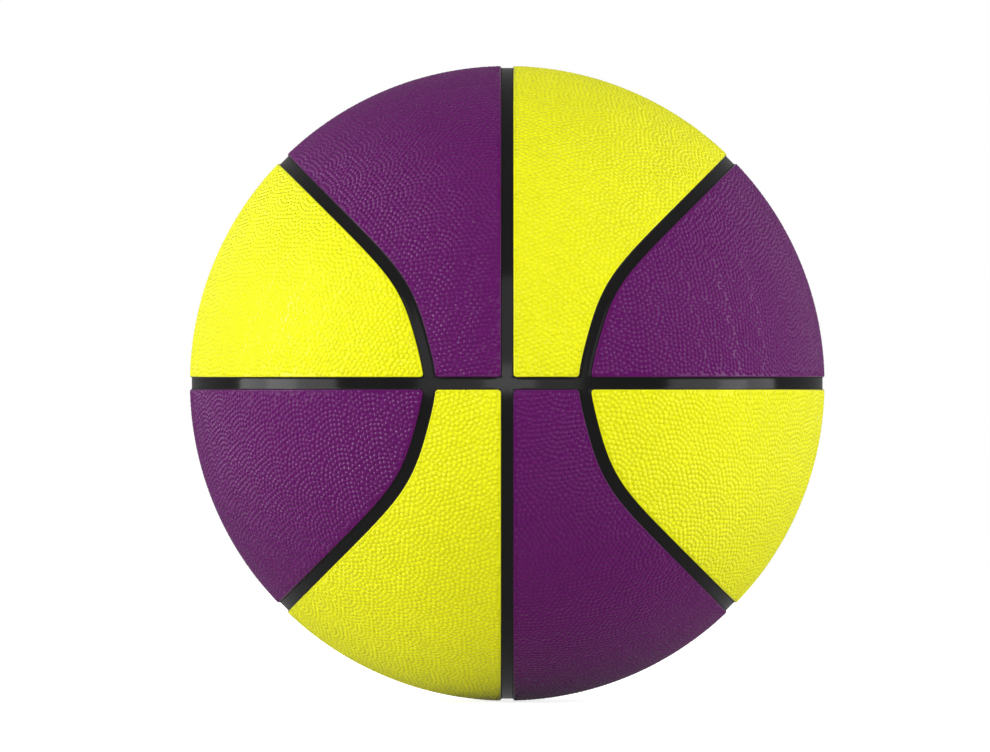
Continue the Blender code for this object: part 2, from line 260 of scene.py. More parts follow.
def turned(name, profile, capped):
    """Rings of the profile, a radius and a height each, extruded one from the other about Z."""
    bpy.ops.object.select_all(action="DESELECT")
    radius, height = profile[0]
    bpy.ops.mesh.primitive_circle_add(
        vertices=TURNED_SIDES,
        radius=radius,
        location=(0, 0, height),
        fill_type="NGON" if capped else "NOTHING",
    )
    piece = start_piece(name)
    bpy.ops.object.transform_apply(location=True)
    bpy.ops.object.mode_set(mode="EDIT")
    bpy.ops.mesh.select_all(action="SELECT")
    for new_radius, new_height in profile[1:]:
        bpy.ops.mesh.extrude_edges_move(
            TRANSFORM_OT_translate={"value": (0, 0, new_height - height)}
        )
        share = new_radius / radius
        bpy.ops.transform.resize(value=(share, share, 1), center_override=(0, 0, new_height))
        radius, height = new_radius, new_height
    if capped:
        bpy.ops.mesh.edge_face_add()
    bpy.ops.mesh.select_all(action="SELECT")
    bpy.ops.mesh.remove_doubles(threshold=MERGE_DISTANCE)
    bpy.ops.mesh.normals_make_consistent(inside=False)
    bpy.ops.object.mode_set(mode="OBJECT")
    return piece


def round_edges(piece, width):
    """Takes the sharp edges off a turned rubber piece and shades it smooth between them."""
    apply_modifier(piece, "BEVEL", width=width, segments=ROUNDING_STEPS, limit_method="ANGLE")
    bpy.ops.object.shade_smooth_by_angle(angle=SMOOTH_ANGLE)


def valve_housing():
    """The turned plug, from the rim of the recess round the outside and up the bore."""
    bottom, flange_bottom, flange_edge, neck_foot, seat, edge, top = levels_along_valve("valve_housing")
    piece = turned("turned_valve_housing", [
        (HEAD_RECESS_RADIUS, top),
        (NECK_RADIUS - NECK_EDGE_RADIUS, top),
        (NECK_RADIUS, edge),
        (NECK_RADIUS, neck_foot),
        (FLANGE_RADIUS, flange_edge),
        (FLANGE_RADIUS, flange_bottom),
        (BODY_RADIUS, flange_bottom),
        (BODY_RADIUS, bottom),
        (BORE_RADIUS, bottom),
        (BORE_RADIUS, seat),
        (HEAD_RECESS_RADIUS, seat),
        (HEAD_RECESS_RADIUS, top),
    ], capped=False)
    round_edges(piece, HOUSING_ROUNDING)
    piece.data.transform(VALVE_TURN)
    return piece


housing = valve_housing()
housing_finish = rubber(
    "valve_rubber",
    VALVE_BLACK,
    roughness=0.5,
    cloud=0.6,
    unevenness=0.2,
    grain_height=0.00001,
)
housing.data.materials.append(housing_finish)
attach(housing, "ball")
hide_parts("valve_housing")

# Valve insert
# The insert is a firmer black rubber plug, pushed into the housing until its head sits in the recess.
# A needle goes in through the hole in the head and parts the slit in the nose, which air holds shut.
HEAD_RADIUS = 0.0031
HEAD_THICKNESS = 0.0013
STEM_RADIUS = 0.0021
NOSE_RADIUS = 0.0014
NOSE_LENGTH = 0.0032
NEEDLE_HOLE_RADIUS = 0.0009
NEEDLE_HOLE_DEPTH = 0.0100
SLIT_OPENING = 0.0003
INSERT_ROUNDING = 0.0002
INSERT_BLACK = (0.022, 0.022, 0.023, 1)


def valve_insert():
    """The turned insert, from the foot of the needle hole over the head to the slit nose."""
    nose = levels_along_valve("valve_housing")[0]
    head = VALVE_TOP - HEAD_THICKNESS
    hole_foot = VALVE_TOP - NEEDLE_HOLE_DEPTH
    piece = turned("turned_valve_insert", [
        (NEEDLE_HOLE_RADIUS, hole_foot),
        (NEEDLE_HOLE_RADIUS, VALVE_TOP),
        (HEAD_RADIUS, VALVE_TOP),
        (HEAD_RADIUS, head),
        (STEM_RADIUS, head),
        (STEM_RADIUS, nose),
        (NOSE_RADIUS, nose - NOSE_LENGTH),
    ], capped=True)
    round_edges(piece, INSERT_ROUNDING)

    bpy.ops.object.select_all(action="DESELECT")
    slit_top = hole_foot + NEEDLE_HOLE_RADIUS
    slit_bottom = nose - 2 * NOSE_LENGTH
    bpy.ops.mesh.primitive_cube_add(
        size=1,
        location=(0, 0, (slit_top + slit_bottom) / 2),
        scale=(2 * NEEDLE_HOLE_RADIUS, SLIT_OPENING, slit_top - slit_bottom),
    )
    slit = start_piece("needle_slit")
    bpy.context.view_layer.objects.active = piece
    apply_modifier(piece, "BOOLEAN", object=slit, operation="DIFFERENCE", solver="EXACT")
    bpy.data.objects.remove(slit)
    piece.data.transform(VALVE_TURN)
    return piece


insert = valve_insert()
insert_finish = rubber(
    "insert_rubber",
    INSERT_BLACK,
    roughness=0.42,
    cloud=0.6,
    unevenness=0.2,
    grain_height=0.00001,
)
insert.data.materials.append(insert_finish)
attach(insert, "valve_insert")
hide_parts("valve_insert")

# Channel strips
# Narrow strips of smooth black rubber are laid on the carcass along the seams, and make the floors of
# the channels: one round the level seam, two half turns upright and four along the curved seams.
CHANNEL_WIDTH = 0.0047
CHANNEL_DEPTH = 0.0008
STRIP_THICKNESS = 0.0007
STRIP_GAP = 0.00003
LIP_RADIUS = 0.00035
LIP_STEPS = 3
LIP_TURN = math.radians(75)
LOOP_HALF_WAIST = 0.0290
PANEL_CORNER_RADIUS = 0.0012
STRIP_BLACK = (0.0083, 0.0083, 0.0083, 1)
STRIP_SHINE = 0.225
CELLS_ALONG = 160
RING_CELLS = 480
FLOOR_CELLS = 4
WAIST_ANGLE = math.asin(LOOP_HALF_WAIST / BALL_RADIUS)
CHANNEL_ANGLE = CHANNEL_WIDTH / 2 / BALL_RADIUS
STRIP_ANGLE = (CHANNEL_WIDTH / 2 - STRIP_GAP) / BALL_RADIUS
STRIP_RADIUS = BALL_RADIUS - CHANNEL_DEPTH
SEAT_RADIUS = STRIP_RADIUS - STRIP_THICKNESS
LINE_STEPS = 600
# Half turns that carry a piece of the upper right of the front to its other places.
PLACES = {
    "upper_right": Matrix.Identity(4),
    "upper_left": Matrix.Rotation(math.pi, 4, "Z"),
    "lower_right": Matrix.Rotation(math.pi, 4, "X"),
    "lower_left": Matrix.Rotation(math.pi, 4, "Y"),
}


def loop_direction(t):
    """Upper right curved seam, from the equator's front at 0 over the side at 1 to the back at 2."""
    reach = 2 - t if t > 1 else t
    polar = WAIST_ANGLE + (math.pi / 2 - WAIST_ANGLE) * reach**2
    growth = (math.sin(polar) / math.sin(WAIST_ANGLE)) ** 2 - 1
    lift = math.copysign(math.acos(math.exp(-max(growth, 0))) / 2, reach)
    depth = math.cos(polar) if t > 1 else -math.cos(polar)
    return Vector((math.sin(polar) * math.cos(lift), depth, math.sin(polar) * math.sin(lift)))


def loop_edge(offset):
    """Line beside the curved seam and a little past its ends; positive is towards the upright seam."""
    ends = 0.12
    times = [-ends + (2 + 2 * ends) * step / LINE_STEPS for step in range(LINE_STEPS + 1)]
    middles = [loop_direction(t) for t in times]
    line = []
    for before, middle, after in zip(middles, middles[1:], middles[2:]):
        beside = middle.cross((after - before).normalized())
        line.append(middle * math.cos(offset) + beside * math.sin(offset))
    return line


def upright_edge(offset):
    """Line beside the upright seam over the top, from front to back."""
    turns = [math.pi * step / LINE_STEPS for step in range(LINE_STEPS + 1)]
    return [
        Vector((math.sin(offset), -math.cos(offset) * math.cos(a), math.cos(offset) * math.sin(a)))
        for a in turns
    ]


def above(line, height):
    """The stretch of a line that lies above a level, cut exactly at both ends."""
    kept = [p for p in line if p.z > height]
    first = line.index(kept[0])
    last = line.index(kept[-1])
    cuts = []
    for low, high in ((line[first - 1], kept[0]), (line[last + 1], kept[-1])):
        share = (height - low.z) / (high.z - low.z)
        cuts.append(low.lerp(high, share).normalized())
    return [cuts[0], *kept, cuts[1]]


def even_points(line, shares):
    """Points at these shares of a line's length."""
    spots = np.array(line)
    steps = np.linalg.norm(np.diff(spots, axis=0), axis=1)
    run = np.concatenate([[0], np.cumsum(steps)]) / steps.sum()
    return np.column_stack([np.interp(shares, run, column) for column in spots.T])


def strip_section():
    """Places across a strip, -1 to 1, and their rise: a flat floor with edges curled up to the panels."""
    half = STRIP_ANGLE * BALL_RADIUS
    reach = LIP_RADIUS * math.sin(LIP_TURN)
    lip = []
    for step in range(1, LIP_STEPS + 1):
        turn = LIP_TURN * step / LIP_STEPS
        place = (half - reach + LIP_RADIUS * math.sin(turn)) / half
        lip.append((place, LIP_RADIUS * (1 - math.cos(turn))))
    flat = 1 - reach / half
    floor = [(flat * (2 * cell / FLOOR_CELLS - 1), 0) for cell in range(FLOOR_CELLS + 1)]
    return np.array([(-place, rise) for place, rise in reversed(lip)] + floor + lip)


section = strip_section()


def flat_strip(name, cells_along):
    """A grid with a column for each place of the section: its places across, rises and shares along."""
    bpy.ops.object.select_all(action="DESELECT")
    columns = len(section) - 1
    bpy.ops.mesh.primitive_grid_add(x_subdivisions=columns, y_subdivisions=cells_along, size=2)
    piece = start_piece(name)
    flat = np.array([vertex.co for vertex in piece.data.vertices])
    across, rise = section[np.rint((flat[:, 0] + 1) / 2 * columns).astype(int)].T
    return piece, across, rise, (flat[:, 1] + 1) / 2


def bent_strip(name, near_edge, far_edge):
    """A strip laid between two edge lines, flared at its ends into the corners of the panels."""
    piece, across, rise, shares = flat_strip(name, CELLS_ALONG)
    shares = (1 - np.cos(shares * math.pi)) / 2
    near = even_points(near_edge, shares)
    far = even_points(far_edge, shares)
    length = sum((b - a).length for a, b in zip(near_edge, near_edge[1:])) * BALL_RADIUS
    from_end = np.minimum(shares, 1 - shares) * length
    short = np.clip(PANEL_CORNER_RADIUS - from_end, 0, None)
    flare = PANEL_CORNER_RADIUS - np.sqrt(PANEL_CORNER_RADIUS**2 - short**2)
    sideways = (far - near) / np.linalg.norm(far - near, axis=1, keepdims=True)
    spots = (near + far) / 2 + across[:, None] * (far - near) / 2
    spots += sideways * (across * flare)[:, None] / BALL_RADIUS
    spots *= ((STRIP_RADIUS + rise) / np.linalg.norm(spots, axis=1))[:, None]
    piece.data.vertices.foreach_set("co", spots.ravel())
    return finish_strip(piece, rise)


def finish_strip(piece, rise):
    """Marks a strip's curled edges, turns its faces outwards and gives it its thickness inwards."""
    curl = piece.data.attributes.new("curl", "FLOAT", "POINT")
    curl.data.foreach_set("value", (rise > 0).astype(float))
    bpy.ops.object.mode_set(mode="EDIT")
    bpy.ops.mesh.select_all(action="SELECT")
    bpy.ops.mesh.remove_doubles(threshold=MERGE_DISTANCE)
    bpy.ops.object.mode_set(mode="OBJECT")
    first = piece.data.polygons[0]
    if first.normal.dot(first.center) < 0:
        piece.data.flip_normals()
    apply_modifier(piece, "SOLIDIFY", thickness=STRIP_THICKNESS, offset=-1)
    bpy.ops.object.shade_smooth_by_angle(angle=SMOOTH_ANGLE)
    return piece


def level_ring(name):
    """The strip round the level seam, closed on itself, its edges flat where other strips meet it."""
    piece, across, rise, shares = flat_strip(name, RING_CELLS)
    turns = math.tau * shares
    mouths = [side * math.pi / 2 + bend for side in (1, 3) for bend in (-WAIST_ANGLE, 0, WAIST_ANGLE)]
    apart = np.min([np.abs(turns - mouth) for mouth in mouths], axis=0) * BALL_RADIUS
    clear = apart - CHANNEL_WIDTH / 2 - PANEL_CORNER_RADIUS / 2
    rise = rise * np.clip(clear / PANEL_CORNER_RADIUS, 0, 1)
    tilt = across * STRIP_ANGLE
    spots = np.column_stack([np.cos(turns) * np.cos(tilt), np.sin(turns) * np.cos(tilt), np.sin(tilt)])
    piece.data.vertices.foreach_set("co", (spots * (STRIP_RADIUS + rise)[:, None]).ravel())
    return finish_strip(piece, rise)


def channel_rubber():
    """Smooth black rubber that shines on the floor of a channel and is dull on the curled edges."""
    material = rubber(
        "black_channel_rubber",
        STRIP_BLACK,
        roughness=0.12,
        cloud=0.5,
        unevenness=0.04,
        grain_height=0.000001,
    )
    tree = material.node_tree
    surface = tree.nodes["Principled BSDF"]
    surface.inputs["Specular IOR Level"].default_value = STRIP_SHINE
    curl = tree.nodes.new("ShaderNodeAttribute")
    curl.attribute_name = "curl"
    skin_roughness = surface.inputs["Roughness"].links[0].from_socket
    dulled = maths(tree, "MAXIMUM", skin_roughness, curl.outputs["Fac"])
    tree.links.new(dulled, surface.inputs["Roughness"])
    return material


channel_finish = channel_rubber()


def fit_strip(piece, node):
    """Sets a finished strip on the ball in place of its node."""
    piece.data.materials.append(channel_finish)
    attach(piece, "ball")
    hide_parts(node)


def copy_to(piece, name, turn):
    """A copy with its own mesh, carried to another place on the ball."""
    copy = bpy.data.objects.new(name, piece.data.copy())
    copy.data.transform(turn)
    bpy.context.scene.collection.objects.link(copy)
    return copy


fit_strip(level_ring("level_channel_floor"), "level_channel_strip")
strip_ends = math.sin(STRIP_ANGLE)
upright_sides = [above(upright_edge(side * STRIP_ANGLE), strip_ends) for side in (-1, 1)]
upper_strip = bent_strip("upper_channel_floor", *upright_sides)
lower_strip = copy_to(upper_strip, "lower_channel_floor", PLACES["lower_right"])
fit_strip(upper_strip, "upper_channel_strip")
fit_strip(lower_strip, "lower_channel_strip")
loop_sides = [above(loop_edge(side * STRIP_ANGLE), strip_ends) for side in (-1, 1)]
curved_strip = bent_strip("curved_channel_floor_upper_right", *loop_sides)
for place, turn in PLACES.items():
    strip = curved_strip
    if place != "upper_right":
        strip = copy_to(curved_strip, f"curved_channel_floor_{place}", turn)
    fit_strip(strip, f"curved_channel_strip_{place}")

# Panels
# Eight panels of coloured rubber, four narrow ones beside the upright seam and four at the sides, are
# moulded with a pebbled grip in fish-scale fans. Their edges are rolled down into the channels.
YELLOW = (0.885, 0.885, 0.007, 1)
PURPLE = (0.119, 0.0052, 0.119, 1)
# Painted shade: colour factors that darken the grooves between the pebbles.
YELLOW_PAINTED_GROOVE_SHADE = (0.985, 0.985, 0.95, 1)
PURPLE_PAINTED_GROOVE_SHADE = (0.95, 0.95, 0.95, 1)
YELLOW_ROUNDING = 0.00044
PURPLE_ROUNDING = 0.00036
PANEL_EDGE_RADIUS = 0.0004
EDGE_LAND = 0.0003
EDGE_STEPS = 3
OUTLINE_STEP = 0.0011
CORNER_STEPS = 4
SMOOTH_BORDER = 0.0009
VALVE_HOLE_RADIUS = 0.0051
PEBBLE_HEIGHT = 0.00036
PANEL_SHINE = 0.2
PANEL_SHEEN = 0.09
SHEEN_ROUGHNESS = 0.4
PEBBLE_HALF_LENGTH = 0.00108
PEBBLE_HALF_WIDTH = 0.00097
GROOVE_WIDTH = 0.25
FAN_SPACING = 0.01805
ROW_STEP = np.array((-0.00505, -0.0122))
RING_STEP = 0.00187
FIRST_RING = 0.0004
RINGS = 6
PEBBLE_SPACING = 0.00192
LEAST_SPACING = 0.00140
WIDEST_GAP = 0.00150
EASED_SPACING = 0.00180
EASING_ROUNDS = 3
EASING_SHARE = 0.25
GAP_SEARCH_STEPS = 48
PEBBLE_STRAY = 0.00009
STRAY_SEED = 8
FRONT_FANS = 3
NEIGHBOUR_FANS = 2
NEIGHBOUR_PEBBLES = 3
GRAIN_TURN = {"centre": math.radians(13), "side": math.radians(193)}
MIDDLE_TURN = {"centre": math.radians(22.5), "side": math.radians(67.5)}
UNDERSIDE_STEP = 0.006
SHEET_BASE = BALL_RADIUS - PEBBLE_HEIGHT
SEAT_HEIGHT = SEAT_RADIUS - SHEET_BASE
NO_PEBBLE = 1.0
FRONT_TO_BACK = Vector((0, 1, 0))


def repeats(reach):
    """Steps from a fan to those around it, some columns and rows away."""
    return np.array([
        (column * FAN_SPACING, 0) + row * ROW_STEP
        for row in range(-reach, reach + 1)
        for column in range(-reach, reach + 1)
    ])


def spread(spots, others, steps):
    """Vectors to each spot from each of the others and their repeats."""
    around = (others[None, :, :] + steps[:, None, :]).reshape(-1, 2)
    return spots[:, None, :] - around[None, :, :]


def fan_pebbles():
    """Pebbles of one fan: rings about its foot, as far as the fans in front leave them showing."""
    reach = FIRST_RING + RINGS * RING_STEP + RING_STEP / 2
    front_feet = repeats(FRONT_FANS)
    front_feet = front_feet[front_feet[:, 1] < ROW_STEP[1] / 2]
    side_feet = np.array([(FAN_SPACING, 0), (-FAN_SPACING, 0)])
    around = repeats(NEIGHBOUR_FANS)
    kept = np.zeros((1, 2))
    for ring in range(1, RINGS + 1):
        radius = FIRST_RING + ring * RING_STEP
        count = round(math.tau * radius / PEBBLE_SPACING)
        for place in range(count):
            turn = math.pi / 2 + math.tau * (place + ring % 2 / 2) / count
            spot = radius * np.array((math.cos(turn), math.sin(turn)))
            hidden = np.linalg.norm(spot - front_feet, axis=1).min() < reach
            beyond = np.linalg.norm(spot - side_feet, axis=1).min() < radius
            close = np.linalg.norm(spread(spot[None], kept, around)[0], axis=1).min() < LEAST_SPACING
            if not (hidden or beyond or close):
                kept = np.vstack([kept, spot])
    pebbles = eased(filled(kept, around), around)
    feet = np.zeros_like(pebbles)
    for index in range(len(kept), len(pebbles)):
        feet[index] = around[np.linalg.norm(pebbles[index] - around, axis=1).argmin()]
    out = pebbles - feet
    along = np.arctan2(out[:, 1], out[:, 0]) + math.pi / 2
    strays = np.random.default_rng(STRAY_SEED).normal(0, PEBBLE_STRAY, pebbles.shape)
    return pebbles + strays, along


def filled(pebbles, around):
    """Puts a pebble into each gap that the borders of the fans leave."""
    shares = np.arange(GAP_SEARCH_STEPS) / GAP_SEARCH_STEPS
    cell = np.array([(a * FAN_SPACING, 0) + b * ROW_STEP for a in shares for b in shares])
    while True:
        gaps = np.linalg.norm(spread(cell, pebbles, around), axis=2).min(axis=1)
        if gaps.max() < WIDEST_GAP:
            return pebbles
        pebbles = np.vstack([pebbles, cell[gaps.argmax()]])


def eased(pebbles, around):
    """Moves crowded pebbles a little apart."""
    for _ in range(EASING_ROUNDS):
        apart = spread(pebbles, pebbles, around)
        gaps = np.linalg.norm(apart, axis=2)
        gaps[gaps == 0] = np.inf
        push = EASING_SHARE * np.clip(EASED_SPACING - gaps, 0, None) / gaps
        pebbles = pebbles + (apart * push[:, :, None]).sum(axis=1)
    return pebbles


fan_spots, fan_directions = fan_pebbles()


def chart(line, middle):
    """Flat places of directions on the ball: along the panel from front to back, and across it."""
    across = middle.cross(FRONT_TO_BACK)
    return BALL_RADIUS * np.array([
        (math.atan2(p.dot(FRONT_TO_BACK), p.dot(middle)), math.asin(p.dot(across))) for p in line
    ])


def wrapped(flat, heights, middle):
    """Flat places and heights above the base of the pebbles, laid onto the ball."""
    along = flat[:, :1] / BALL_RADIUS
    across = flat[:, 1:] / BALL_RADIUS
    on_middle = np.cos(along) * np.array(middle) + np.sin(along) * np.array(FRONT_TO_BACK)
    spots = np.cos(across) * on_middle + np.sin(across) * np.array(middle.cross(FRONT_TO_BACK))
    return spots * (SHEET_BASE + heights[:, None])


def outline(sides):
    """The sides of a panel in turn, anticlockwise, stepped evenly and joined by round corners."""
    points = []
    for side, following in zip(sides, sides[1:] + sides[:1]):
        length = np.linalg.norm(np.diff(side, axis=0), axis=1).sum()
        trim = PANEL_CORNER_RADIUS / length
        steps = max(2, round((length - 2 * PANEL_CORNER_RADIUS) / OUTLINE_STEP))
        run = even_points(side, np.linspace(trim, 1 - trim, steps + 1))
        points.extend(run)
        corner = side[-1]
        back = (run[-1] - corner) / np.linalg.norm(run[-1] - corner)
        next_length = np.linalg.norm(np.diff(following, axis=0), axis=1).sum()
        ahead_point = even_points(following, [PANEL_CORNER_RADIUS / next_length])[0]
        ahead = (ahead_point - corner) / np.linalg.norm(ahead_point - corner)
        for step in range(1, CORNER_STEPS):
            turn = math.pi / 2 * step / CORNER_STEPS
            from_back = PANEL_CORNER_RADIUS * (1 - math.sin(turn))
            from_ahead = PANEL_CORNER_RADIUS * (1 - math.cos(turn))
            points.append(corner + from_back * back + from_ahead * ahead)
    return np.array(points)


def outward(loop):
    """Unit vectors out of the rubber, on the right of a loop's direction."""
    along = np.roll(loop, -1, axis=0) - np.roll(loop, 1, axis=0)
    out = np.column_stack([along[:, 1], -along[:, 0]])
    return out / np.linalg.norm(out, axis=1, keepdims=True)


def search_tree(spots):
    """A tree that finds the flat spots nearest to a point."""
    tree = kdtree.KDTree(len(spots))
    for index, spot in enumerate(spots):
        tree.insert((*spot, 0), index)
    tree.balance()
    return tree


def nearest_of(points, spots):
    """Index of the nearest spot to each point."""
    tree = search_tree(spots)
    return [tree.find((*point, 0))[1] for point in points]


def depth_inside(points, loop):
    """How far points lie on the left of a loop, negative outside it."""
    out = outward(loop)
    nearest = nearest_of(points, loop)
    gap = loop[nearest] - points
    sign = np.sign((gap * out[nearest]).sum(axis=1))
    return sign * np.linalg.norm(gap, axis=1)


def net(loops, inner):
    """Triangles between closed loops and the points inside them."""
    points = [*np.concatenate(loops), *inner]
    edges = []
    start = 0
    for loop in loops:
        edges += [(start + k, start + (k + 1) % len(loop)) for k in range(len(loop))]
        start += len(loop)
    inside_edges = 1
    closest = 1e-9
    spots = [Vector(point) for point in points]
    vertices, _, faces, *_ = geometry.delaunay_2d_cdt(spots, edges, [], inside_edges, closest)
    vertices = np.array(vertices)
    faces = np.array(faces)
    middles = vertices[faces].mean(axis=1)
    inside = np.all([depth_inside(middles, loop) > 0 for loop in loops], axis=0)
    return vertices, faces[inside]


def grain_points(loops, grain_turn):
    """Places and directions of a panel's pebbles, clear of the smooth border along its edges."""
    low = loops[0].min(axis=0)
    high = loops[0].max(axis=0)
    reach = np.linalg.norm(high - low) / 2
    middle = (low + high) / 2
    rows = math.ceil(reach / -ROW_STEP[1]) + 1
    slant = rows * abs(ROW_STEP[0])
    columns = math.ceil((reach + slant) / FAN_SPACING) + 1
    feet = np.array([
        (column * FAN_SPACING, 0) + row * ROW_STEP
        for row in range(-rows, rows + 1)
        for column in range(-columns, columns + 1)
    ])
    spots = (fan_spots[None, :, :] + feet[:, None, :]).reshape(-1, 2)
    directions = np.tile(fan_directions, len(feet)) + grain_turn
    cos, sin = math.cos(grain_turn), math.sin(grain_turn)
    spots = spots @ np.array(((cos, sin), (-sin, cos))) + middle
    near = np.all((spots > low) & (spots < high), axis=1)
    spots, directions = spots[near], directions[near]
    for loop in loops:
        clear = depth_inside(spots, loop) > SMOOTH_BORDER
        spots, directions = spots[clear], directions[clear]
    return spots, directions


def pebble_tops(flat, pebbles, directions):
    """How far up its pebble each flat place is, from 0 in the valleys to 1; below 0 on the border."""
    tree = search_tree(pebbles)
    found = [tree.find_n((*spot, 0), NEIGHBOUR_PEBBLES) for spot in flat]
    nearest = np.array([[pebble[1] for pebble in near] for near in found])
    away = flat[:, None, :] - pebbles[nearest]
    cos, sin = np.cos(directions[nearest]), np.sin(directions[nearest])
    along = (away[..., 0] * cos + away[..., 1] * sin) / PEBBLE_HALF_LENGTH
    across = (away[..., 1] * cos - away[..., 0] * sin) / PEBBLE_HALF_WIDTH
    return (1 - along**2 - across**2).max(axis=1)


def pebble_net(name, loops, pebbles):
    """The flat net over pebbles and border, with each triangle cut into twelve."""
    vertices, faces = net(loops, pebbles)
    mesh = bpy.data.meshes.new(name)
    mesh.from_pydata(np.column_stack([vertices, np.zeros(len(vertices))]), [], faces.tolist())
    piece = bpy.data.objects.new(name, mesh)
    bpy.context.scene.collection.objects.link(piece)
    bpy.ops.object.select_all(action="DESELECT")
    bpy.context.view_layer.objects.active = piece
    piece.select_set(True)
    bpy.ops.object.mode_set(mode="EDIT")
    bpy.ops.mesh.select_all(action="SELECT")
    bpy.ops.mesh.subdivide(number_cuts=1)
    bpy.ops.mesh.poke()
    bpy.ops.object.mode_set(mode="OBJECT")
    flat = np.empty(len(mesh.vertices) * 3)
    mesh.vertices.foreach_get("co", flat)
    triangles = [list(polygon.vertices) for polygon in mesh.polygons]
    bpy.data.objects.remove(piece)
    return flat.reshape(-1, 3)[:, :2], triangles


def rolled_edge(rim, rim_heights):
    """Places and heights of the rings from a panel's face round its edge and down its wall."""
    out = outward(rim)
    rings = []
    for step in range(1, EDGE_STEPS + 1):
        turn = math.pi / 2 * step / EDGE_STEPS
        drop = PANEL_EDGE_RADIUS * (math.cos(turn) - 1) + rim_heights * math.cos(turn)
        rings.append((rim + PANEL_EDGE_RADIUS * math.sin(turn) * out, drop))
    rings.append((rim + PANEL_EDGE_RADIUS * out, np.full(len(rim), SEAT_HEIGHT)))
    return rings


def underside(edge, feet):
    """Grid places on a panel's underside, and the faces between them and the feet of its walls."""
    low, high = edge.min(axis=0), edge.max(axis=0)
    grid = np.array([
        (x, y)
        for x in np.arange(low[0], high[0], UNDERSIDE_STEP)
        for y in np.arange(low[1], high[1], UNDERSIDE_STEP)
    ])
    for foot in feet:
        grid = grid[depth_inside(grid, foot) > UNDERSIDE_STEP / 2]
    places, faces = net(feet, grid)
    return places[sum(len(foot) for foot in feet):], faces[:, ::-1]


def keep_places(mesh, name, domain, flat):
    """Keeps a flat place for each point or face of a mesh, for its finish."""
    places = np.column_stack([flat, np.zeros(len(flat))])
    mesh.attributes.new(name, "FLOAT_VECTOR", domain).data.foreach_set("vector", places.ravel())


def pebbled_sheet(name, sides, middle, grain_turn, hole=None):
    """One panel: pebbled face, rolled edge, wall and underside, laid onto the ball."""
    edges = [outline(sides)]
    if hole is not None:
        steps = round(math.tau * VALVE_HOLE_RADIUS / OUTLINE_STEP) * 2
        turns = -math.tau * np.arange(steps) / steps
        edges.append(hole + VALVE_HOLE_RADIUS * np.column_stack([np.cos(turns), np.sin(turns)]))
    insets = [edge - PANEL_EDGE_RADIUS * outward(edge) for edge in edges]
    pebbles, directions = grain_points(edges, grain_turn)
    face_places, faces = pebble_net(name, insets, pebbles)
    face_pebbles = pebbles[nearest_of(face_places[faces].mean(axis=1), pebbles)]
    heights = PEBBLE_HEIGHT * np.clip(pebble_tops(face_places, pebbles, directions), 0, None)

    flat = face_places
    feet = []
    for inset in insets:
        between = (inset + np.roll(inset, -1, axis=0)) / 2
        rim = np.stack([inset, between], axis=1).reshape(-1, 2)
        ring = nearest_of(rim, face_places)
        heights[ring] = np.maximum(heights[ring], EDGE_LAND)
        for places, drops in rolled_edge(rim, heights[ring]):
            new_ring = list(range(len(flat), len(flat) + len(rim)))
            flat = np.vstack([flat, places])
            heights = np.concatenate([heights, drops])
            for k in range(len(rim)):
                after = (k + 1) % len(rim)
                faces.append([ring[k], new_ring[k], new_ring[after], ring[after]])
            ring = new_ring
        feet.append(ring)

    under, under_faces = underside(edges[0], [flat[ring] for ring in feet])
    corners = np.concatenate([*feet, np.arange(len(flat), len(flat) + len(under))])
    flat = np.vstack([flat, under])
    heights = np.concatenate([heights, np.full(len(under), SEAT_HEIGHT)])
    faces += corners[under_faces].tolist()

    mesh = bpy.data.meshes.new(name)
    mesh.from_pydata(wrapped(flat, heights, middle), [], faces)
    mesh.shade_smooth()
    owners = np.full((len(faces), 2), NO_PEBBLE)
    owners[:len(face_pebbles)] = face_pebbles
    keep_places(mesh, "place", "POINT", flat)
    keep_places(mesh, "pebble", "FACE", owners)
    return mesh


def pebble_dome_group():
    """Height of the round pebble that a place belongs to, and the groove round the pebble's foot, where
    the panels get painted shade.
    """
    group = bpy.data.node_groups.new("pebble_dome", "ShaderNodeTree")
    socket = group.interface.new_socket
    socket("Height", in_out="OUTPUT", socket_type="NodeSocketFloat")
    socket("Groove", in_out="OUTPUT", socket_type="NodeSocketFloat")
    link = group.links.new
    result = group.nodes.new("NodeGroupOutput").inputs
    away = group.nodes.new("ShaderNodeVectorMath")
    away.operation = "DISTANCE"
    for name, end in zip(("place", "pebble"), away.inputs):
        attribute = group.nodes.new("ShaderNodeAttribute")
        attribute.attribute_name = name
        link(attribute.outputs["Vector"], end)
    share = maths(group, "DIVIDE", away.outputs["Value"], PEBBLE_HALF_LENGTH)
    dome = maths(group, "SUBTRACT", 1, maths(group, "POWER", share, 2))
    link(maths(group, "MAXIMUM", dome, 0), result["Height"])
    link(maths(group, "COMPARE", share, 1, GROOVE_WIDTH), result["Groove"])
    return group


pebble_dome = pebble_dome_group()


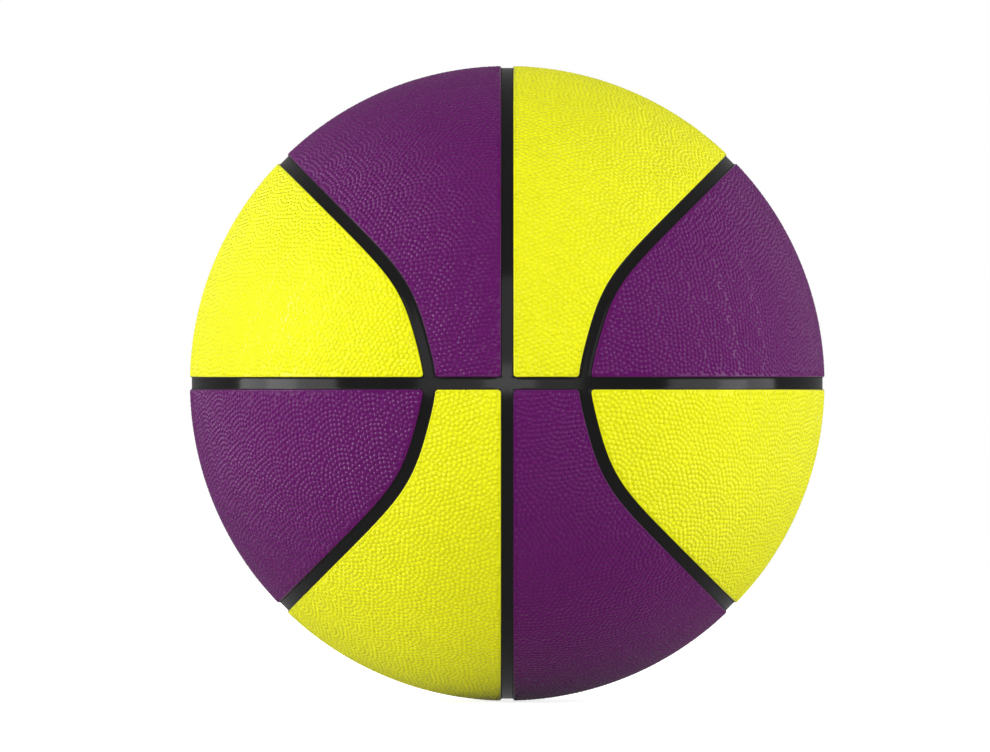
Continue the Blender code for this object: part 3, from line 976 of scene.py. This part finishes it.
def panel_rubber(name, colour, painted_groove_shade, pebble_rounding):
    """Pebbled panel rubber: the shared skin on round pebbles, with painted shade making it a little
    darker in the grooves.
    """
    material = rubber(
        name,
        colour,
        roughness=0.14,
        cloud=0.10,
        unevenness=0.06,
        grain_height=0.000004,
    )
    nodes = material.node_tree.nodes
    link = material.node_tree.links.new
    surface = nodes["Principled BSDF"]
    surface.inputs["Specular IOR Level"].default_value = PANEL_SHINE
    surface.inputs["Sheen Weight"].default_value = PANEL_SHEEN
    surface.inputs["Sheen Roughness"].default_value = SHEEN_ROUGHNESS
    dome = nodes.new("ShaderNodeGroup")
    dome.node_tree = pebble_dome
    skin_colour = surface.inputs["Base Color"].links[0].from_socket
    # Painted shade: the colour is multiplied darker in the groove round each pebble's foot.
    painted_shade_mix = nodes.new("ShaderNodeMix")
    painted_shade_mix.data_type = "RGBA"
    painted_shade_mix.blend_type = "MULTIPLY"
    painted_shade_mix.inputs["B"].default_value = painted_groove_shade
    link(dome.outputs["Groove"], painted_shade_mix.inputs["Factor"])
    link(skin_colour, painted_shade_mix.inputs["A"])
    link(painted_shade_mix.outputs["Result"], surface.inputs["Base Color"])
    rounding = nodes.new("ShaderNodeBump")
    rounding.inputs["Distance"].default_value = pebble_rounding
    link(dome.outputs["Height"], rounding.inputs["Height"])
    link(rounding.outputs["Normal"], nodes["Bump"].inputs["Normal"])
    return material


def centre_sides(middle):
    """The sides of a panel beside the upright seam, anticlockwise: curved, back, upright, front."""
    level = math.sin(CHANNEL_ANGLE)
    curved = above(loop_edge(CHANNEL_ANGLE), level)
    upright = above(upright_edge(CHANNEL_ANGLE), level)
    back = [curved[-1], upright[-1]]
    front = [upright[0], curved[0]]
    return [chart(side, middle) for side in (curved, back, upright[::-1], front)]


def side_sides(middle):
    """The sides of a panel at the side of the ball, anticlockwise: level, curved."""
    level = math.sin(CHANNEL_ANGLE)
    curved = above(loop_edge(-CHANNEL_ANGLE), level)
    first = math.atan2(curved[0].y, curved[0].x)
    last = math.atan2(curved[-1].y, curved[-1].x)
    turns = [first + (last - first) * step / LINE_STEPS for step in range(LINE_STEPS + 1)]
    around = math.sqrt(1 - level**2)
    below = [Vector((around * math.cos(a), around * math.sin(a), level)) for a in turns]
    return [chart(side, middle) for side in (below, curved[::-1])]


middles = {kind: Vector((math.sin(a), 0, math.cos(a))) for kind, a in MIDDLE_TURN.items()}
panel_sides = {
    "centre": centre_sides(middles["centre"]),
    "side": side_sides(middles["side"]),
}
sheets = {
    kind: pebbled_sheet(f"{kind}_sheet", sides, middles[kind], GRAIN_TURN[kind])
    for kind, sides in panel_sides.items()
}
valve_sheet = pebbled_sheet(
    "valve_sheet",
    panel_sides["centre"],
    middles["centre"],
    GRAIN_TURN["centre"],
    hole=chart([VALVE_AXIS], middles["centre"])[0],
)
panel_finishes = {
    "yellow": panel_rubber("yellow_panel_rubber", YELLOW, YELLOW_PAINTED_GROOVE_SHADE, YELLOW_ROUNDING),
    "purple": panel_rubber("purple_panel_rubber", PURPLE, PURPLE_PAINTED_GROOVE_SHADE, PURPLE_ROUNDING),
}
PANEL_COLOURS = {
    "centre": {
        "upper_right": "yellow",
        "upper_left": "purple",
        "lower_right": "purple",
        "lower_left": "yellow",
    },
    "side": {
        "upper_right": "purple",
        "upper_left": "yellow",
        "lower_right": "yellow",
        "lower_left": "purple",
    },
}
for kind, colours in PANEL_COLOURS.items():
    for place, colour in colours.items():
        sheet = sheets[kind]
        if (kind, place) == ("centre", "upper_right"):
            sheet = valve_sheet
        mesh = sheet.copy()
        mesh.transform(PLACES[place])
        panel = bpy.data.objects.new(f"pebbled_{kind}_panel_{place}", mesh)
        bpy.context.scene.collection.objects.link(panel)
        mesh.materials.append(panel_finishes[colour])
        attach(panel, "ball")
        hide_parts(f"{kind}_panel_{place}")

# Studio
# A plain pale floor lies under the ball. Soft boxes and lamps stand on both sides, in front, above and
# behind, and the camera is level with the ball.
FLOOR_PALE = (0.8, 0.8, 0.8, 1)
FLOOR_ROUGHNESS = 0.9
FLOOR_WIDTH = 6
FLOOR_CLEARANCE = 0.0002
FLOOR_GLOW = 0.82
ROOM_LIGHT = 0.21
ROOM_SHINE = 0.15
CEILING_SHINE = 0.06
FLOOR_SHINE = 0.16
BACKGROUND_REACH = math.cos(math.radians(3))
WHITE = (1, 1, 1, 1)
SOFT_BOX_DISTANCE = 2.6
LAMP_DISTANCE = 2.5
SENSOR_WIDTH = 36
LENS_LENGTH = 461.7
CAMERA_DISTANCE = 40 * BALL_RADIUS
FARTHEST_VIEW = 50
PHOTO_WIDTH = 990
PHOTO_MIDDLE = Vector((495, 376))
BALL_MIDDLE = Vector((507.2, 383.3))


def studio_floor():
    """A wide floor that looks white to the camera and still takes the ball's soft shadow."""
    bpy.ops.object.select_all(action="DESELECT")
    bpy.ops.mesh.primitive_plane_add(size=FLOOR_WIDTH, location=(0, 0, -BALL_RADIUS - FLOOR_CLEARANCE))
    floor = start_piece("floor")
    bpy.ops.object.transform_apply(location=True)
    material = bpy.data.materials.new("floor_paint")
    material.use_nodes = True
    tree = material.node_tree
    surface = tree.nodes["Principled BSDF"]
    surface.inputs["Base Color"].default_value = FLOOR_PALE
    surface.inputs["Roughness"].default_value = FLOOR_ROUGHNESS
    surface.inputs["Specular IOR Level"].default_value = 0
    surface.inputs["Emission Color"].default_value = WHITE
    ray = tree.nodes.new("ShaderNodeLightPath").outputs
    glow = maths(tree, "MULTIPLY", ray["Is Camera Ray"], FLOOR_GLOW)
    tree.links.new(glow, surface.inputs["Emission Strength"])
    floor.data.materials.append(material)
    floor.visible_glossy = False


studio_floor()


def studio_world():
    """Dim light from all round, with a white background for what looks at it.

    What shines mirrors a darker room, a little paler towards the ceiling and the floor.
    """
    world = bpy.data.worlds.new("studio")
    bpy.context.scene.world = world
    world.use_nodes = True
    tree = world.node_tree
    ray = tree.nodes.new("ShaderNodeLightPath").outputs
    place = tree.nodes.new("ShaderNodeTexCoord")
    split = tree.nodes.new("ShaderNodeSeparateXYZ")
    tree.links.new(place.outputs["Generated"], split.inputs[0])
    behind = maths(tree, "GREATER_THAN", split.outputs["Y"], BACKGROUND_REACH)
    mirrored = maths(tree, "MAXIMUM", ray["Is Glossy Ray"], ray["Is Transmission Ray"])
    white = maths(tree, "MAXIMUM", ray["Is Camera Ray"], maths(tree, "MULTIPLY", mirrored, behind))
    rise = split.outputs["Z"]
    ceiling = maths(tree, "MULTIPLY", maths(tree, "MAXIMUM", rise, 0), CEILING_SHINE)
    ground = maths(tree, "MULTIPLY", maths(tree, "MINIMUM", rise, 0), -FLOOR_SHINE)
    room = maths(tree, "ADD", maths(tree, "ADD", ceiling, ground), ROOM_SHINE)
    shine = maths(tree, "MULTIPLY", mirrored, room)
    soft = maths(tree, "MULTIPLY", maths(tree, "SUBTRACT", 1, mirrored), ROOM_LIGHT)
    strength = maths(tree, "MAXIMUM", white, maths(tree, "ADD", shine, soft))
    background = tree.nodes["Background"]
    background.inputs["Color"].default_value = WHITE
    tree.links.new(strength, background.inputs["Strength"])


studio_world()


def lamp(
    name, turn, rise, width, height, radiance,
    distance=SOFT_BOX_DISTANCE, lights=True, shines=True,
):
    """A soft box at a turn and rise from the camera's direction, aimed at the ball; angles in degrees.

    One that doesn't light the ball is only mirrored in it, one that doesn't shine is never mirrored.
    """
    light = bpy.data.lights.new(name, "AREA")
    light.shape = "RECTANGLE"
    light.size = 2 * distance * math.tan(math.radians(width / 2))
    light.size_y = 2 * distance * math.tan(math.radians(height / 2))
    light.energy = radiance * math.pi * light.size * light.size_y
    box = bpy.data.objects.new(name, light)
    a, e = math.radians(turn), math.radians(rise)
    away = Vector((math.sin(a) * math.cos(e), -math.cos(a) * math.cos(e), math.sin(e)))
    box.location = away * distance
    box.rotation_euler = away.to_track_quat("Z", "Y").to_euler()
    box.visible_camera = False
    box.visible_diffuse = lights
    box.visible_glossy = shines
    bpy.context.scene.collection.objects.link(box)


lamp("left_soft_box", turn=-88, rise=14, width=50, height=38, radiance=2.85)
lamp(
    "left_core", turn=-88.5, rise=2, width=15, height=12, radiance=2,
    distance=LAMP_DISTANCE, lights=False,
)
lamp(
    "left_glint", turn=-88, rise=16, width=12, height=12, radiance=10,
    distance=LAMP_DISTANCE, lights=False,
)
lamp("left_key", turn=-62, rise=14, width=26, height=26, radiance=4.4, shines=False)
lamp("right_soft_box", turn=86, rise=14, width=54, height=38, radiance=2.1)
lamp("right_core", turn=89, rise=14, width=14, height=30, radiance=2, distance=LAMP_DISTANCE)
lamp("right_key", turn=68, rise=18, width=30, height=30, radiance=2.1, shines=False)
lamp("front_card", turn=-2.6, rise=17, width=61, height=43, radiance=1)
lamp("front_core", turn=1, rise=2, width=18, height=9, radiance=2, distance=LAMP_DISTANCE)
lamp("top_soft_box", turn=0, rise=55, width=40, height=28, radiance=1.5, shines=False)
lamp("back_soft_box", turn=180, rise=22, width=60, height=40, radiance=1.4, shines=False)


def studio_camera():
    """A long lens, level with the ball's middle and facing the crossing of the straight channels."""
    data = bpy.data.cameras.new("camera")
    data.sensor_width = SENSOR_WIDTH
    data.lens = LENS_LENGTH
    data.shift_x = (PHOTO_MIDDLE.x - BALL_MIDDLE.x) / PHOTO_WIDTH
    data.shift_y = (BALL_MIDDLE.y - PHOTO_MIDDLE.y) / PHOTO_WIDTH
    data.clip_end = FARTHEST_VIEW
    camera = bpy.data.objects.new("camera", data)
    camera.location = (0, -CAMERA_DISTANCE, 0)
    camera.rotation_euler = (math.pi / 2, 0, 0)
    bpy.context.scene.collection.objects.link(camera)
    bpy.context.scene.camera = camera


studio_camera()
bpy.context.scene.view_settings.view_transform = "Standard"
